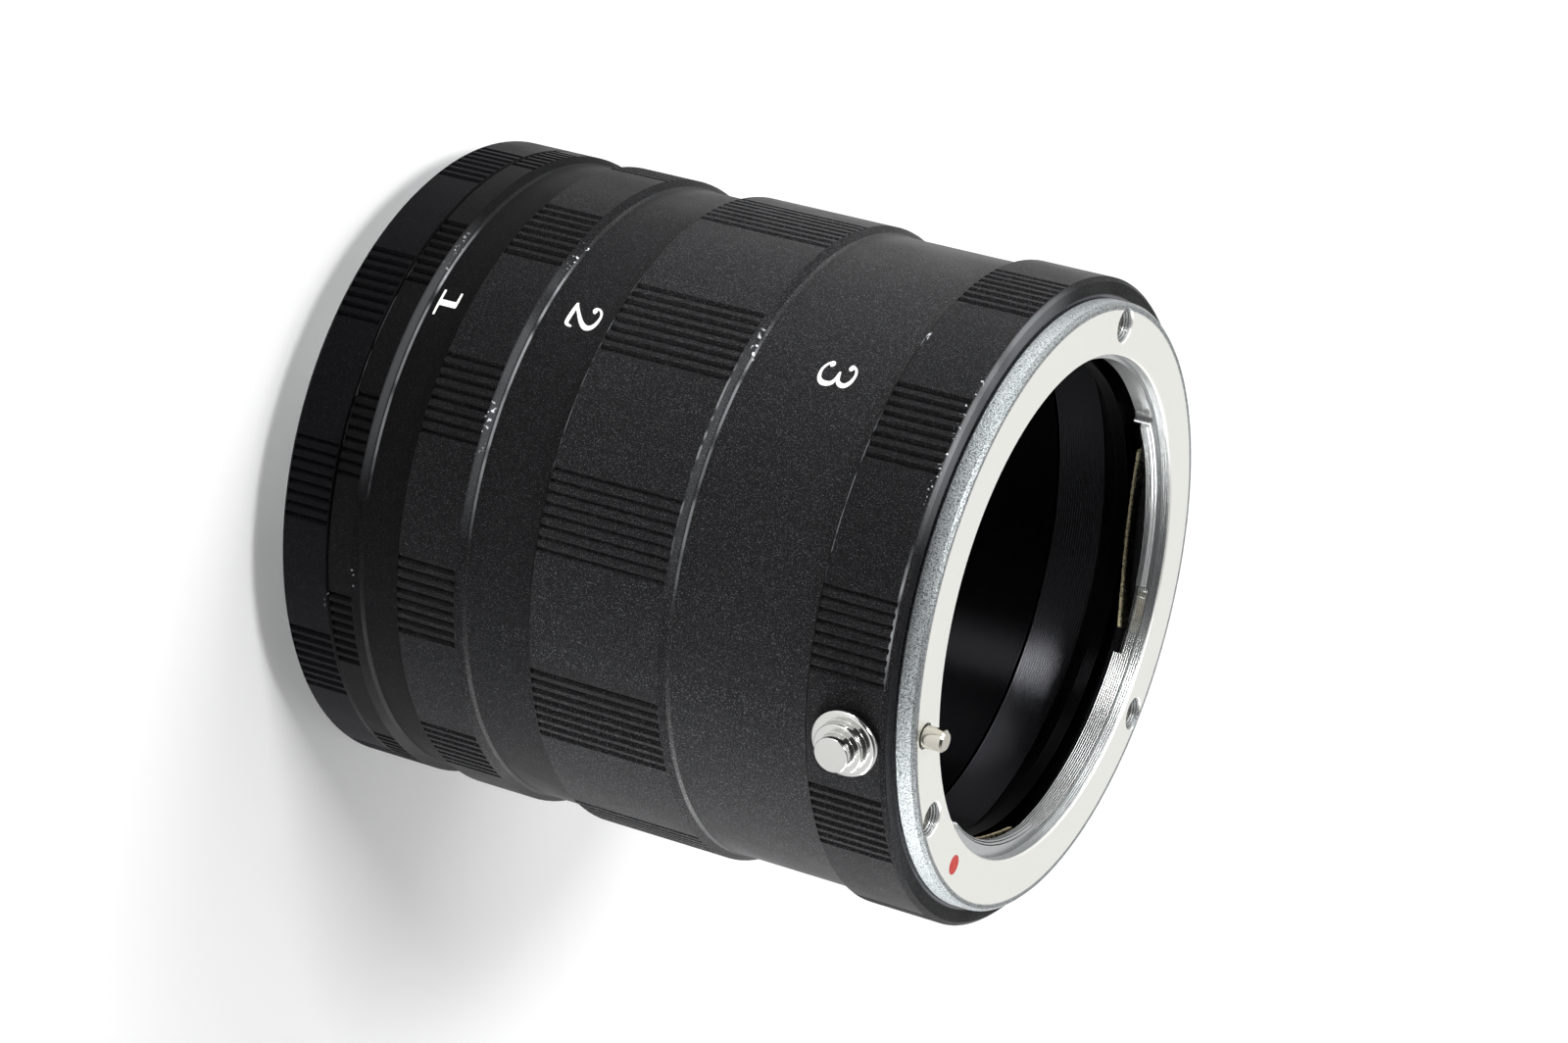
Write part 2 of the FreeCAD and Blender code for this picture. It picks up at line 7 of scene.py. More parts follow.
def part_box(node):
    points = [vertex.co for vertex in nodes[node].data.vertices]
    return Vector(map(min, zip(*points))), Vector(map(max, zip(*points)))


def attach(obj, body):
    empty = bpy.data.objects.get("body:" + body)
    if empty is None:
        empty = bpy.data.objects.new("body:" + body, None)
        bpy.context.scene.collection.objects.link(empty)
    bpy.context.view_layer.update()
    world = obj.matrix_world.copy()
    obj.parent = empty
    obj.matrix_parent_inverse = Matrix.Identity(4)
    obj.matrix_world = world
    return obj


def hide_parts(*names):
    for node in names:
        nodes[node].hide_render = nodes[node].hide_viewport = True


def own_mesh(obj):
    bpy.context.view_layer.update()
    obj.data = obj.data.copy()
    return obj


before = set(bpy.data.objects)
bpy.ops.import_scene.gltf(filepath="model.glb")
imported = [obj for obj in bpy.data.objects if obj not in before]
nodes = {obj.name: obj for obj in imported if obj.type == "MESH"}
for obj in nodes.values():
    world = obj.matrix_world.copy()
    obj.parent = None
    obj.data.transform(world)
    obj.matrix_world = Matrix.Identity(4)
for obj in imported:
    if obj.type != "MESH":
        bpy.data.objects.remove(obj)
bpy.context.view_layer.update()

mm = 0.001
scene = bpy.context.scene

# Sizes that the looks share with the solids, in millimetres.
sizes = {
    "plainRadius": 29.4,
    "boreRadius": 24.5,
    "insideBelow": 28.6,
    "spigotRoot": 27.2,
    "spigotCrest": 27.5,
    "spigotLength": 2.6,
    "flangeRim": 27.4,
    "flangeFace": 67.9,
    "knobAxis": 62.5,
}

# Short names for the node kinds that come up most. A Mix node's sockets go by number: 0 is the factor,
# 2 and 3 are numbers, 6 and 7 colours, and result 2 is a colour.
mathNode = "ShaderNodeMath"
vectorMath = "ShaderNodeVectorMath"
mapRange = "ShaderNodeMapRange"
noiseNode = "ShaderNodeTexNoise"
mixNode = "ShaderNodeMix"
smooth = {"interpolation_type": "SMOOTHSTEP"}
noiseRange = (0.3, 0.7)  # most values of a noise texture lie between these


def linear(hexColour):
    channels = []
    for start in (1, 3, 5):
        value = int(hexColour[start:start + 2], 16) / 255
        channels.append(value / 12.92 if value <= 0.04045 else ((value + 0.055) / 1.055) ** 2.4)
    return (*channels, 1.0)


# Inputs are values or links, by name in a dictionary or in the order of the sockets.
def addNode(tree, kind, inputs=(), **settings):
    node = tree.nodes.new(kind)
    for name, value in settings.items():
        setattr(node, name, value)
    for name, value in inputs.items() if isinstance(inputs, dict) else enumerate(inputs):
        if isinstance(value, bpy.types.NodeSocket):
            tree.links.new(value, node.inputs[name])
        else:
            node.inputs[name].default_value = value
    return node.outputs


def newMaterial(name):
    material = bpy.data.materials.new(name)
    material.use_nodes = True
    material.node_tree.nodes.clear()
    return material, material.node_tree


def addSurface(tree, inputs):
    shader = addNode(tree, "ShaderNodeBsdfPrincipled", inputs)
    addNode(tree, "ShaderNodeOutputMaterial", {"Surface": shader["BSDF"]})


# The place on the piece, its height, and its distance from the optical axis.
def axisPlace(tree):
    place = addNode(tree, "ShaderNodeTexCoord")["Object"]
    parts = addNode(tree, "ShaderNodeSeparateXYZ", {"Vector": place})
    flat = addNode(tree, "ShaderNodeCombineXYZ", {"X": parts["X"], "Y": parts["Y"]})["Vector"]
    radius = addNode(tree, vectorMath, (flat,), operation="LENGTH")["Value"]
    return place, parts["Z"], radius


def turningMarks(tree, up, look):
    turns = addNode(tree, mathNode, (up, 2 * math.pi / (look["turningPitch"] * mm)), operation="MULTIPLY")[0]
    wave = addNode(tree, mathNode, (turns,), operation="SINE")[0]
    return addNode(tree, mathNode, (wave, look["turningHeight"] * mm), operation="MULTIPLY")[0]


def cloudedRoughness(tree, place, look):
    scale = 1 / (look["cloudSize"] * mm)
    cloud = addNode(tree, noiseNode, {"Vector": place, "Scale": scale, "Detail": 3.0})["Fac"]
    dullest = look["rough"] + look["roughSpread"]
    glossiest = look["rough"] - look["roughSpread"]
    return addNode(tree, mapRange, (cloud, *noiseRange, glossiest, dullest), **smooth)[0]


# Black anodised aluminium: bead-blasted outside with a fine sparkle painted in as lighter specks for glints,
# turned inside with rings of light.
# The turning marks are drawn coarser than the real ones, which are too fine to show.
# Lengths are in millimetres.
blackFinish = {
    # The sparkle colour is painted glints.
    "sparkle": "#6b6b6e",
    "sparkleRange": (0.55, 0.75),
    "bareAndHighlit": "#b1b4b7",
    # The throat colour is painted shade behind the leaf springs.
    "throatShade": "#0c0c0d",
    "throatShadeBlend": (0.4, 0.2),
    # The seam colour is painted shade in the gaps between the pieces.
    "seamShade": "#010101",
    "seamShadeWidth": 0.22,
    "rough": 0.46,
    "roughSpread": 0.05,
    "cloudSize": 7.0,
    "insideRough": 0.16,
    "insideBlend": 0.2,
    "grainSize": 0.09,
    "grainHeight": 0.01,
    "turningPitch": 0.25,
    "turningHeight": 0.056,
}

# Bright edges, worn bright at the chips and painted as highlights on the bevels, feet and joints: height
# above the joint below the piece, half width and size of the spots in millimetres, azimuth and span in
# degrees, the limit above which the spot pattern shows, and its blur.
bevelHighlight = {"width": 0.36, "strength": 0.1, "azimuth": -134.0, "span": 30.0, "spot": 6.0, "limit": 0.3,
             "blur": 0.2}
footHighlight = {**bevelHighlight, "width": 0.15, "strength": 0.4, "spot": 3.0, "limit": 0.42}
jointHighlight = {"height": 0.12, "width": 0.1, "strength": 0.55, "azimuth": -140.0, "span": 22.0, "spot": 1.2,
             "limit": 0.5, "blur": 0.1}
chipWear = {"width": 0.4, "strength": 1.0, "span": 6.0, "spot": 0.4, "limit": 0.66, "blur": 0.03}
# The same shares shape the painted highlight lines.
wearAndHighlightCore = {"width": 0.4, "span": 0.3}  # shares of half width and span within which the wear is full

# Each black piece: its colours outside and inside, its share of sparkle, its gloss, and its worn edges and
# painted highlight lines.
# The pieces are one anodising, painted as lit and shaded copies: lighter on tube 3, darker on the rear ring
# and tube 1; inside, tube 3 darker and the front ring much lighter.
blackPieces = {
    "rear_ring": {"colour": "#08080a", "inside": "#222224", "sparkle": 0.1, "specular": 0.03, "edges": [
        {**chipWear, "height": 4.9, "azimuth": -88.0, "span": 2.0, "strength": 0.2}]},
    "tube_1": {"colour": "#09090a", "inside": "#222224", "sparkle": 0.1, "specular": 0.03, "edges": [
        {**jointHighlight, "strength": 0.25, "azimuth": -136.0},
        {**bevelHighlight, "height": 2.9, "azimuth": -137.0},
        {**footHighlight, "height": 3.35, "azimuth": -137.0},
        {**chipWear, "height": 3.0, "azimuth": -156.0, "strength": 0.6},
        {**chipWear, "height": 2.8, "azimuth": -94.0, "span": 3.0, "strength": 0.35}]},
    "tube_2": {"colour": "#0f0f10", "inside": "#222224", "sparkle": 0.34, "specular": 0.045, "edges": [
        {**bevelHighlight, "height": 6.55},
        {**footHighlight, "height": 7.0, "strength": 0.5},
        {**chipWear, "height": 6.4, "azimuth": -126.0, "limit": 0.62},
        {**chipWear, "height": 6.8, "azimuth": -162.0}]},
    "tube_3": {"colour": "#141415", "inside": "#1a1a1c", "sparkle": 0.6, "specular": 0.06, "edges": [
        {**jointHighlight},
        {**bevelHighlight, "height": 13.6, "azimuth": -131.0, "strength": 0.05},
        {**footHighlight, "height": 14.05, "azimuth": -131.0},
        {**jointHighlight, "height": 13.35, "strength": 0.3, "azimuth": -131.0},
        {**chipWear, "height": 13.9, "azimuth": -152.0, "limit": 0.62}]},
    "front_ring": {"colour": "#111112", "inside": "#58585c", "sparkle": 0.44, "specular": 0.05, "edges": [
        {**jointHighlight, "azimuth": -131.0, "span": 16.0},
        {**chipWear, "height": 0.1, "azimuth": -161.5, "span": 2.0, "limit": 0.5},
        {**bevelHighlight, "height": 7.6, "width": 0.3, "strength": 0.3, "azimuth": -156.0, "span": 34.0},
        {**chipWear, "height": 7.2, "azimuth": -144.0, "span": 18.0},
        {**footHighlight, "height": 7.3, "azimuth": -112.0, "span": 14.0, "limit": 0.5, "strength": 0.6}]},
}


# A soft line round the piece: 1 at the height, 0 from the width outwards.
def lineRound(tree, up, height, width):
    above = addNode(tree, mathNode, (up, height), operation="SUBTRACT")[0]
    away = addNode(tree, mathNode, (above,), operation="ABSOLUTE")[0]
    return addNode(tree, mapRange, (away, width * mm, wearAndHighlightCore["width"] * width * mm), **smooth)[0]


# Chips are real wear; the bevel, foot and joint lines are painted highlights, kept by azimuth and span to the
# side towards the camera and the key lamp.
def edgeWearAndHighlight(tree, place, up, radius, joint, edge):
    line = lineRound(tree, up, joint + edge["height"] * mm, edge["width"])
    azimuth = math.radians(edge["azimuth"])
    outward = (math.cos(azimuth), math.sin(azimuth), 0.0)
    facing = addNode(tree, vectorMath, (place, outward), operation="DOT_PRODUCT")["Value"]
    cosine = addNode(tree, mathNode, (facing, radius), operation="DIVIDE")[0]
    span = math.radians(edge["span"])
    side = addNode(tree, mapRange, (cosine, math.cos(span), math.cos(span * wearAndHighlightCore["span"])), **smooth)[0]
    scale = 1 / (edge["spot"] * mm)
    pattern = addNode(tree, noiseNode, {"Vector": place, "Scale": scale, "Detail": 1.0})["Fac"]
    low = edge["limit"] - edge["blur"]
    high = edge["limit"] + edge["blur"]
    spots = addNode(tree, mapRange, (pattern, low, high), **smooth)[0]
    spotted = addNode(tree, mathNode, (line, spots), operation="MULTIPLY")[0]
    strength = addNode(tree, mathNode, (side, edge["strength"]), operation="MULTIPLY")[0]
    return addNode(tree, mathNode, (spotted, strength), operation="MULTIPLY")[0]


def blackAnodised(name, piece, joint=0.0, top=0.0):
    look = blackFinish
    material, tree = newMaterial(name)
    place, up, radius = axisPlace(tree)
    wall = sizes["insideBelow"]
    outside = addNode(tree, mapRange, (radius, (wall - look["insideBlend"]) * mm, wall * mm), **smooth)[0]
    inside = addNode(tree, mathNode, (1.0, outside), operation="SUBTRACT")[0]
    # Real wear and painted highlights on the edges, outside only.
    bareAndHighlit = 0.0
    for edge in piece["edges"]:
        wornOrHighlit = edgeWearAndHighlight(tree, place, up, radius, joint, edge)
        bareAndHighlit = addNode(tree, mathNode, (bareAndHighlit, wornOrHighlit), operation="MAXIMUM")[0]
    bareAndHighlit = addNode(tree, mathNode, (bareAndHighlit, outside), operation="MULTIPLY")[0]
    # Blasted skin with its painted sparkle, and painted shade darkening the seams at the piece's two ends.
    scale = 1 / (look["grainSize"] * mm)
    grain = addNode(tree, noiseNode, {"Vector": place, "Scale": scale, "Detail": 1.0})["Fac"]
    sparkle = addNode(tree, mapRange, (grain, *look["sparkleRange"], 0.0, piece["sparkle"]), **smooth)[0]
    colours = {0: sparkle, 6: linear(piece["colour"]), 7: linear(look["sparkle"])}
    skin = addNode(tree, mixNode, colours, data_type="RGBA")[2]
    lowerSeamShade = lineRound(tree, up, joint, look["seamShadeWidth"])
    upperSeamShade = lineRound(tree, up, top, look["seamShadeWidth"])
    seamShade = addNode(tree, mathNode, (lowerSeamShade, upperSeamShade), operation="MAXIMUM")[0]
    seamShaded = addNode(tree, mixNode, {0: seamShade, 6: skin, 7: linear(look["seamShade"])}, data_type="RGBA")[2]
    # Turned bore, with painted shade darkening the throat behind the leaf springs.
    throatShade = [(sizes["boreRadius"] - inward) * mm for inward in look["throatShadeBlend"]]
    bore = addNode(tree, mapRange, (radius, *throatShade), **smooth)[0]
    colours = {0: bore, 6: linear(look["throatShade"]), 7: linear(piece["inside"])}
    boreAndThroatShade = addNode(tree, mixNode, colours, data_type="RGBA")[2]
    shade = addNode(tree, mixNode, {0: outside, 6: boreAndThroatShade, 7: seamShaded}, data_type="RGBA")[2]
    colour = addNode(tree, mixNode, {0: bareAndHighlit, 6: shade, 7: linear(look["bareAndHighlit"])}, data_type="RGBA")[2]
    outsideRough = cloudedRoughness(tree, place, look)
    rough = addNode(tree, mixNode, {0: outside, 2: look["insideRough"], 3: outsideRough})[0]
    blasted = addNode(tree, mathNode, (grain, outside), operation="MULTIPLY")[0]
    marks = addNode(tree, mathNode, (turningMarks(tree, up, look), inside), operation="MULTIPLY")[0]
    height = addNode(tree, mathNode, (blasted, look["grainHeight"] * mm, marks), operation="MULTIPLY_ADD")[0]
    normal = addNode(tree, "ShaderNodeBump", {"Height": height, "Distance": 1.0})["Normal"]
    # The turned inside mirrors as dark metal does, the blasted outside as dull paint does.
    metal = addNode(tree, mathNode, (bareAndHighlit, inside), operation="MAXIMUM")[0]
    addSurface(tree, {"Base Color": colour, "Metallic": metal, "Roughness": rough, "Normal": normal,
                      "Specular IOR Level": piece["specular"]})
    return material


# Satin chrome of the two bayonets: blasted grey rim, paler ground face, steel-grey cut walls below the face.
# Lengths are in millimetres.
chromeFinish = {
    "face": "#ecece7",
    "rim": "#a2a7a8",
    "rimBlend": 0.2,
    "pits": "#2a2e30",
    "pitRange": (0.42, 0.64),
    "pitShare": 0.75,
    "walls": "#b3b6b6",
    "wallBlend": (0.1, 0.2),
    "rough": 0.44,
    "roughSpread": 0.06,
    "wallRough": 0.26,
    "turningPitch": 0.22,
    "turningHeight": 0.035,
    "grainSize": 0.13,
    "grainHeight": 0.05,
    "ringPitch": 0.3,
    "ringHeight": 0.006,
}


def satinChrome(name, face):
    look = chromeFinish
    material, tree = newMaterial(name)
    place, up, radius = axisPlace(tree)
    scale = 1 / (look["grainSize"] * mm)
    grain = addNode(tree, noiseNode, {"Vector": place, "Scale": scale, "Detail": 2.0})["Fac"]
    across = addNode(tree, "ShaderNodeCombineXYZ", {"X": radius})["Vector"]
    scale = 1 / (look["ringPitch"] * mm)
    rings = addNode(tree, noiseNode, {"Vector": across, "Scale": scale, "Detail": 2.0})["Fac"]
    rimAt = sizes["flangeRim"]
    rim = addNode(tree, mapRange, (radius, rimAt * mm, (rimAt + look["rimBlend"]) * mm), **smooth)[0]
    inner = addNode(tree, mathNode, (1.0, rim), operation="SUBTRACT")[0]
    aboveFace = addNode(tree, mathNode, (up, face), operation="SUBTRACT")[0]
    fromFace = addNode(tree, mathNode, (aboveFace,), operation="ABSOLUTE")[0]
    wall = addNode(tree, mapRange, (fromFace, *[depth * mm for depth in look["wallBlend"]]), **smooth)[0]
    colours = {0: wall, 6: linear(look["face"]), 7: linear(look["walls"])}
    ground = addNode(tree, mixNode, colours, data_type="RGBA")[2]
    plain = addNode(tree, mixNode, {0: rim, 6: ground, 7: linear(look["rim"])}, data_type="RGBA")[2]
    pits = addNode(tree, mapRange, (grain, *look["pitRange"], 0.0, look["pitShare"]), **smooth)[0]
    speckled = addNode(tree, mixNode, {0: pits, 6: plain, 7: linear(look["pits"])}, data_type="RGBA")[2]
    colour = addNode(tree, mixNode, {0: rim, 6: plain, 7: speckled}, data_type="RGBA")[2]
    wallMarks = addNode(tree, mathNode, (turningMarks(tree, up, look), wall), operation="MULTIPLY")[0]
    marks = addNode(tree, mathNode, (rings, look["ringHeight"] * mm, wallMarks), operation="MULTIPLY_ADD")[0]
    cutHeight = addNode(tree, mathNode, (inner, marks), operation="MULTIPLY")[0]
    blasted = addNode(tree, mathNode, (grain, rim), operation="MULTIPLY")[0]
    grainHeight = look["grainHeight"] * mm
    height = addNode(tree, mathNode, (blasted, grainHeight, cutHeight), operation="MULTIPLY_ADD")[0]
    normal = addNode(tree, "ShaderNodeBump", {"Height": height, "Distance": 1.0})["Normal"]
    roughEnds = (look["rough"] - look["roughSpread"], look["rough"] + look["roughSpread"])
    grainRough = addNode(tree, mapRange, (grain, *noiseRange, *roughEnds), **smooth)[0]
    innerWall = addNode(tree, mathNode, (wall, inner), operation="MULTIPLY")[0]
    rough = addNode(tree, mixNode, {0: innerWall, 2: grainRough, 3: look["wallRough"]})[0]
    addSurface(tree, {"Base Color": colour, "Metallic": 1.0, "Roughness": rough, "Normal": normal})
    return material


# Turned steel of the screws and the pin spring, with soft grey lights, and polished steel and chrome of the
# lock pin and the knob, which mirror the room. The clouds are in millimetres.
plainMetals = {
    "turned_steel": {"colour": "#98958e", "rough": 0.26, "roughSpread": 0.08, "cloudSize": 0.3},
    "polished_steel_pin": {"colour": "#bbb7ad", "rough": 0.14, "roughSpread": 0.04, "cloudSize": 0.5},
    "polished_chrome_knob": {"colour": "#c9c9c6", "rough": 0.08, "roughSpread": 0.02, "cloudSize": 2.0},
}


def plainMetal(name):
    look = plainMetals[name]
    material, tree = newMaterial(name)
    place = addNode(tree, "ShaderNodeTexCoord")["Object"]
    rough = cloudedRoughness(tree, place, look)
    addSurface(tree, {"Base Color": linear(look["colour"]), "Metallic": 1.0, "Roughness": rough})
    return material


# Rolled spring brass, painted dark olive on its faces as the shadow under the claws, with a painted highlight
# on its inner edge.
# Lengths are in millimetres.
brassFinish = {
    # The face colour is painted shadow under the claws, the edge colour a painted highlight.
    "face": "#4c4733",
    "edge": "#f2e4bd",
    "highlitEdgeRadius": 22.7,
    "highlitEdgeBlend": (0.15, -0.1),
    "rough": 0.3,
    "roughSpread": 0.08,
    "cloudSize": 0.4,
    "turningPitch": 0.12,
    "turningHeight": 0.03,
}


def springBrass(name):
    look = brassFinish
    material, tree = newMaterial(name)
    place, up, radius = axisPlace(tree)
    # Painted highlight on the inner edge, against the painted shadow of the faces.
    edge = [(look["highlitEdgeRadius"] + outward) * mm for outward in look["highlitEdgeBlend"]]
    highlitEdge = addNode(tree, mapRange, (radius, *edge), **smooth)[0]
    colours = {0: highlitEdge, 6: linear(look["face"]), 7: linear(look["edge"])}
    colour = addNode(tree, mixNode, colours, data_type="RGBA")[2]
    marks = turningMarks(tree, up, look)
    normal = addNode(tree, "ShaderNodeBump", {"Height": marks, "Distance": 1.0})["Normal"]
    rough = cloudedRoughness(tree, place, look)
    addSurface(tree, {"Base Color": colour, "Metallic": 1.0, "Roughness": rough, "Normal": normal})
    return material


# Enamel of the index mark and paint of the numerals: filled in by hand, so flat and a little uneven.
# The clouds are in millimetres.
paints = {
    "red_index_enamel": {"colour": "#b92d24", "rough": 0.45},
    "white_numeral_paint": {"colour": "#f2f1ec", "rough": 0.5},
}
paintFinish = {
    "cloudSize": 0.4,
    "dull": 0.7,
    "dullRange": (0.35, 0.7),
    "dullShare": 0.35,
    "roughSpread": 0.05,
    "specular": 0.3,
}


def paint(name):
    look = {**paintFinish, **paints[name]}
    material, tree = newMaterial(name)
    place = addNode(tree, "ShaderNodeTexCoord")["Object"]
    scale = 1 / (look["cloudSize"] * mm)
    cloud = addNode(tree, noiseNode, {"Vector": place, "Scale": scale, "Detail": 3.0})["Fac"]
    pure = linear(look["colour"])
    dull = (*[channel * look["dull"] for channel in pure[:3]], 1.0)
    dulled = addNode(tree, mapRange, (cloud, *look["dullRange"], 0.0, look["dullShare"]), **smooth)[0]
    colour = addNode(tree, mixNode, {0: dulled, 6: pure, 7: dull}, data_type="RGBA")[2]
    addSurface(tree, {"Base Color": colour, "Roughness": cloudedRoughness(tree, place, look),
                      "Specular IOR Level": look["specular"]})
    return material


for node, piece in blackPieces.items():
    low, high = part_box(node)
    joint = low.z if node == "rear_ring" else low.z + sizes["spigotLength"] * mm
    top = joint if node == "front_ring" else high.z
    nodes[node].data.materials[0] = blackAnodised(f"black_anodised_{node}", piece, joint, top)
steel = plainMetal("turned_steel")
brass = springBrass("rolled_spring_brass")
finishes = {
    "front_bayonet": satinChrome("satin_chrome_front", sizes["flangeFace"] * mm),
    "rear_bayonet": satinChrome("satin_chrome_rear", 0.0),
    "front_bayonet_screws": steel,
    "rear_bayonet_screws": steel,
    "pin_spring": steel,
    "lock_pin": plainMetal("polished_steel_pin"),
    "leaf_spring_1": brass,
    "leaf_spring_2": brass,
    "leaf_spring_3": brass,
    "index_dot": paint("red_index_enamel"),
}
for node, finish in finishes.items():
    nodes[node].data.materials[0] = finish
print("finishes set")


def newPiece(name, vertices, faces, material, smoothFaces=True):
    mesh = bpy.data.meshes.new(name)
    mesh.from_pydata(vertices, [], faces)
    mesh.materials.append(material)
    for polygon in mesh.polygons:
        polygon.use_smooth = smoothFaces
    mesh.update()
    piece = bpy.data.objects.new(name, mesh)
    scene.collection.objects.link(piece)
    return piece


# Release knob: three rounded tiers of polished chrome on a stem, turned about a line that points outwards.
# Lengths are in millimetres; a tier is its radius, height and rounding.
knob = {
    "tipAt": 25.5,
    "stemAt": 27.15,
    "underAt": 30.15,
    "tipRadius": 0.55,
    "stemRadius": 0.8,
    "tiers": [(3.15, 0.8, 0.3), (2.35, 0.95, 0.16), (1.65, 1.15, 0.12)],
    "underChamfer": 0.1,
    "hollow": 0.05,
    "segments": 96,
    "arcSteps": 8,
    "sharpAngle": 50,
}


def knobProfile():
    widest = knob["tiers"][0][0]
    profile = [(0.0, knob["tipAt"]), (knob["tipRadius"], knob["tipAt"]), (knob["tipRadius"], knob["stemAt"]),
               (knob["stemRadius"], knob["stemAt"]), (knob["stemRadius"], knob["underAt"]),
               (widest - knob["underChamfer"], knob["underAt"]),
               (widest, knob["underAt"] + knob["underChamfer"])]
    level = knob["underAt"]
    hollow = knob["hollow"]
    arc = [math.pi / 2 * step / knob["arcSteps"] for step in range(knob["arcSteps"] + 1)]
    for index, (radius, height, rounding) in enumerate(knob["tiers"]):
        level += height
        for angle in arc:
            across = radius - rounding * (1 - math.cos(angle))
            profile.append((across, level - rounding * (1 - math.sin(angle))))
        if index + 1 < len(knob["tiers"]):
            # The next tier grows out of this one by a small hollow.
            foot = knob["tiers"][index + 1][0]
            for angle in arc:
                across = foot + hollow * (1 - math.sin(angle))
                profile.append((across, level + hollow * (1 - math.cos(angle))))
    profile.append((0.0, level))
    return profile


def lathe(name, profile, segments, material, toPoint):
    vertices = []
    rows = []
    for radius, along in profile:
        if radius == 0.0:
            rows.append([len(vertices)])
            vertices.append(toPoint(0.0, 0.0, along))
            continue
        rows.append(list(range(len(vertices), len(vertices) + segments)))
        for index in range(segments):
            angle = 2 * math.pi * index / segments
            vertices.append(toPoint(radius * math.cos(angle), radius * math.sin(angle), along))
    faces = []
    for lower, upper in zip(rows, rows[1:]):
        for index in range(segments):
            following = (index + 1) % segments
            corners = [lower[index % len(lower)], lower[following % len(lower)],
                       upper[following % len(upper)], upper[index % len(upper)]]
            face = list(dict.fromkeys(corners))
            if len(face) > 2:
                faces.append(face)
    return newPiece(name, vertices, faces, material)


def knobPoint(across, up, along):
    return (across * mm, -along * mm, (sizes["knobAxis"] + up) * mm)


polished = plainMetal("polished_chrome_knob")
knobPiece = lathe("release_knob_turned", knobProfile(), knob["segments"], polished, knobPoint)
knobPiece.data.set_sharp_from_angle(angle=math.radians(knob["sharpAngle"]))
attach(knobPiece, "release")
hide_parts("release_knob")
print("knob turned")

# Fine threads on the four spigots, one ridge each, and the coil spring under the lock pin, all wound by
# Geometry Nodes. Lengths are in millimetres. "sides" counts the sides of the wire, and "pressed" is the share
# of its length that the spring keeps under a pressed pin.
thread = {
    "pitch": 0.5,
    "turns": 4.2,
    "stepsPerTurn": 120,
    "sides": 4,
    "clearance": 0.02,
    "startAbove": 0.3,
}
pinSpring = {
    "radius": 0.65,
    "wire": 0.14,
    "turns": 5.0,
    "stepsPerTurn": 24,
    "sides": 4,
    "pressed": 0.36,
}


def windingTree(name, material):
    tree = bpy.data.node_groups.new(name, "GeometryNodeTree")
    sockets = {"Turns": "Float", "Radius": "Float", "Height": "Float", "Wire": "Float", "Foot": "Vector",
               "Steps": "Int", "Sides": "Int"}
    for label, kind in sockets.items():
        tree.interface.new_socket(label, in_out="INPUT", socket_type=f"NodeSocket{kind}")
    tree.interface.new_socket("Geometry", in_out="OUTPUT", socket_type="NodeSocketGeometry")
    given = addNode(tree, "NodeGroupInput")
    helix = addNode(tree, "GeometryNodeCurveSpiral", {
        "Resolution": given["Steps"], "Rotations": given["Turns"], "Start Radius": given["Radius"],
        "End Radius": given["Radius"], "Height": given["Height"]})[0]
    placed = addNode(tree, "GeometryNodeSetPosition", {"Geometry": helix, "Offset": given["Foot"]})[0]
    section = addNode(tree, "GeometryNodeCurvePrimitiveCircle", {
        "Resolution": given["Sides"], "Radius": given["Wire"]})[0]
    wire = addNode(tree, "GeometryNodeCurveToMesh", {
        "Curve": placed, "Profile Curve": section, "Fill Caps": True})[0]
    real = addNode(tree, "GeometryNodeRealizeInstances", {"Geometry": wire})[0]
    painted = addNode(tree, "GeometryNodeSetMaterial", {"Geometry": real, "Material": material})[0]
    addNode(tree, "NodeGroupOutput", {"Geometry": painted})
    return tree


def wind(name, tree, values, body):
    holder = bpy.data.objects.new(name, bpy.data.meshes.new(name))
    scene.collection.objects.link(holder)
    modifier = holder.modifiers.new("winding", "NODES")
    modifier.node_group = tree
    for item in tree.interface.items_tree:
        if item.in_out == "INPUT":
            modifier[item.identifier] = values[item.name]
    bpy.context.view_layer.update()
    evaluated = holder.evaluated_get(bpy.context.evaluated_depsgraph_get())
    mesh = bpy.data.meshes.new_from_object(evaluated)
    holder.modifiers.clear()
    holder.data = mesh
    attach(holder, body)
    print(name, len(mesh.polygons), "faces")
    return holder


# The threads take tube 3's tone, which is painted lighter as light and shade, without its edge lines.
threadBlack = blackAnodised("black_anodised_thread", {**blackPieces["tube_3"], "edges": []})
threadTree = windingTree("thread_ridge", threadBlack)
ridge = sizes["spigotCrest"] - sizes["spigotRoot"] - thread["clearance"]
for node, body in (("tube_1", "short_tube"), ("tube_2", "middle_tube"), ("tube_3", "long_tube"),
                   ("front_ring", "lens_end")):
    foot = (0.0, 0.0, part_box(node)[0].z + thread["startAbove"] * mm)
    wind(f"thread_of_{node}", threadTree, {
        "Turns": thread["turns"], "Radius": sizes["spigotRoot"] * mm, "Wire": ridge * mm, "Foot": foot,
        "Height": thread["pitch"] * thread["turns"] * mm, "Steps": thread["stepsPerTurn"],
        "Sides": thread["sides"]}, body)

springLow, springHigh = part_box("pin_spring")
springFoot = ((springLow.x + springHigh.x) / 2, (springLow.y + springHigh.y) / 2, springLow.z)
coil = wind("pin_spring_wound", windingTree("coil_spring", steel), {
    "Turns": pinSpring["turns"], "Radius": pinSpring["radius"] * mm, "Wire": pinSpring["wire"] * mm,
    "Foot": (*springFoot[:2], springLow.z + pinSpring["wire"] * mm), "Steps": pinSpring["stepsPerTurn"],
    "Height": springHigh.z - springLow.z - 2 * pinSpring["wire"] * mm,
    "Sides": pinSpring["sides"]}, "lens_end")
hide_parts("pin_spring")
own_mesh(coil)

